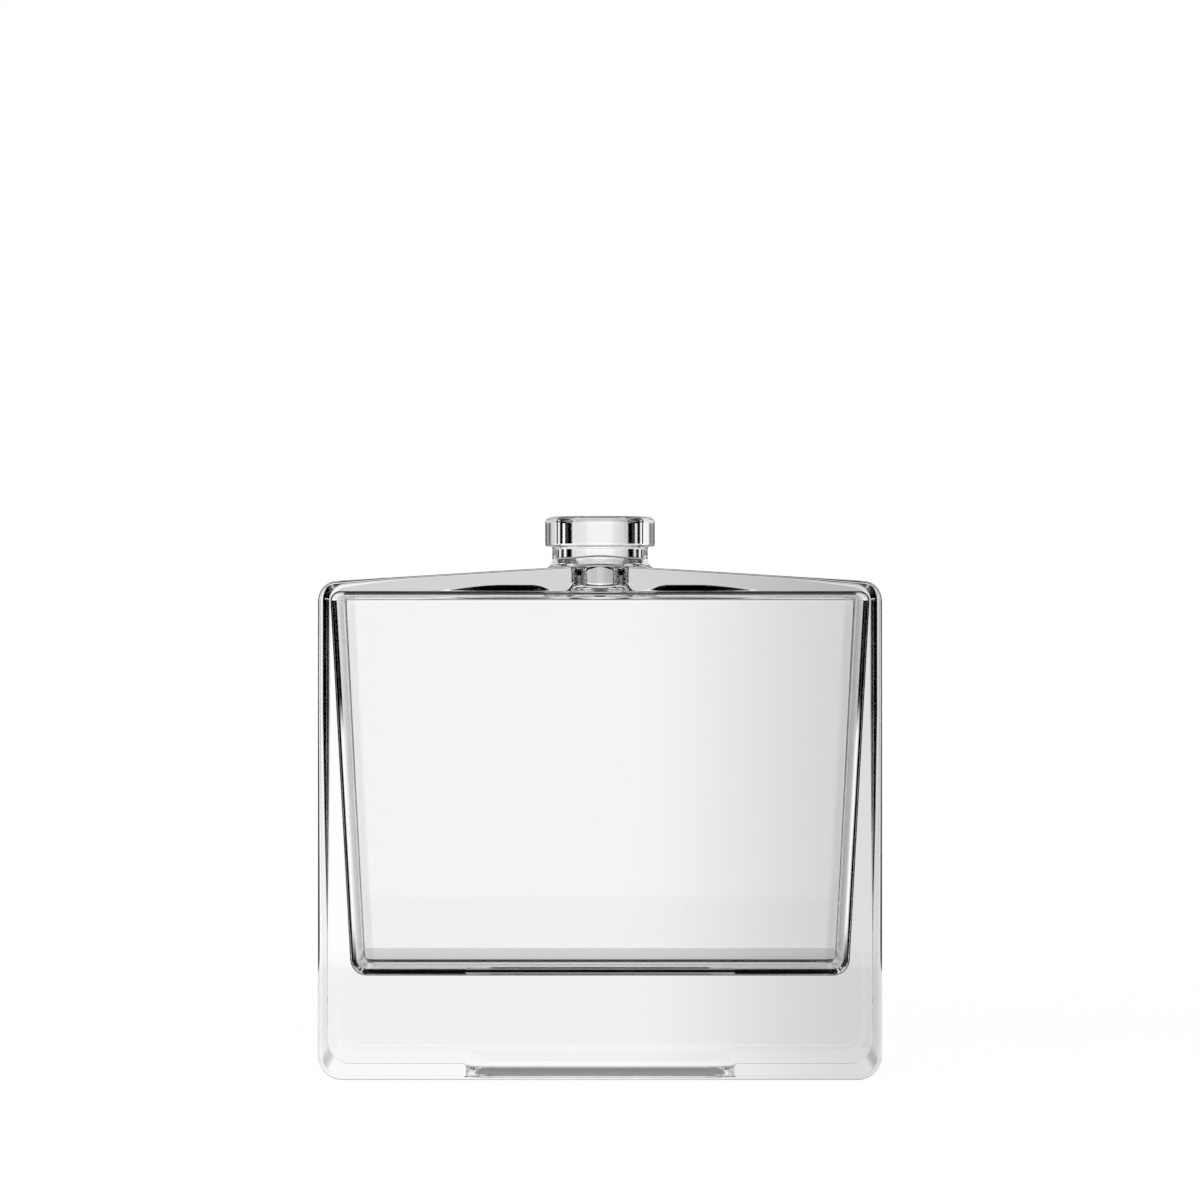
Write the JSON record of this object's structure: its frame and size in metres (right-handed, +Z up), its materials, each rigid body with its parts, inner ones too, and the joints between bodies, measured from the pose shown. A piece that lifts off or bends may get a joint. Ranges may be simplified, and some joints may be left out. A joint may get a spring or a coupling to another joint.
{
  "type": "glass bottle",
  "caption": "Flat rectangular flacon of clear heavy-based glass with sloping shoulders and an open crimp neck, for aftershave or scent.",
  "frame": {"origin": "centre of the base plane, on the axis of the neck", "axes": "+Z up along the neck, the broad front face towards -Y, +X to the right seen from the front"},
  "size_m": [0.075, 0.0246, 0.0751],
  "materials": {
    "flint_glass": "clear fire-polished flint glass"
  },
  "bodies": {
    "root": {"glass_bottle": "flint_glass"}
  },
  "joints": []
}
